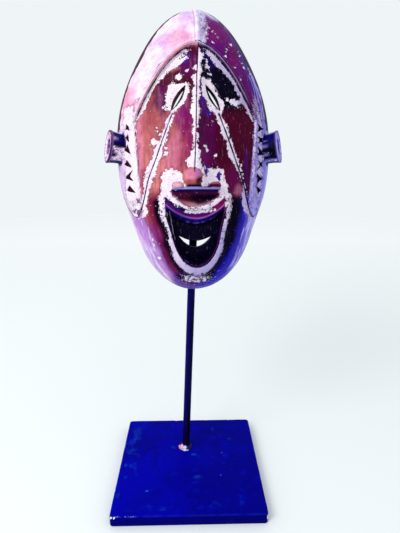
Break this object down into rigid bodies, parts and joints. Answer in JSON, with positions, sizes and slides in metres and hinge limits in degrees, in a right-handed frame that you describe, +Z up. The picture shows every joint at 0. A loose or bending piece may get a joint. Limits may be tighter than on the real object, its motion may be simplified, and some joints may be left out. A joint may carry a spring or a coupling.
{
  "type": "carved wooden face mask on a rod stand",
  "caption": "Hollow carved wooden face mask with a keeled forehead, slit eyes and spool ears, held up on a leaning steel rod with a square base plate.",
  "frame": {"origin": "middle of the base plate's underside", "axes": "+Z up, the mask looks along -Y, +X is to the viewer's right"},
  "size_m": [0.2163, 0.18, 0.5722],
  "materials": {
    "painted_wood": "carved hardwood with worn red-violet stain and white chalk left in the cuts",
    "rod_steel": "satin black-blue paint",
    "weld_steel": "bare uneven weld with pale spatter",
    "plate_steel": "dark blue patinated steel with smears and worn edges"
  },
  "bodies": {
    "root": {"mask": "painted_wood", "support_rod": "rod_steel", "weld_bead": "weld_steel", "base_plate": "plate_steel"}
  },
  "joints": []
}
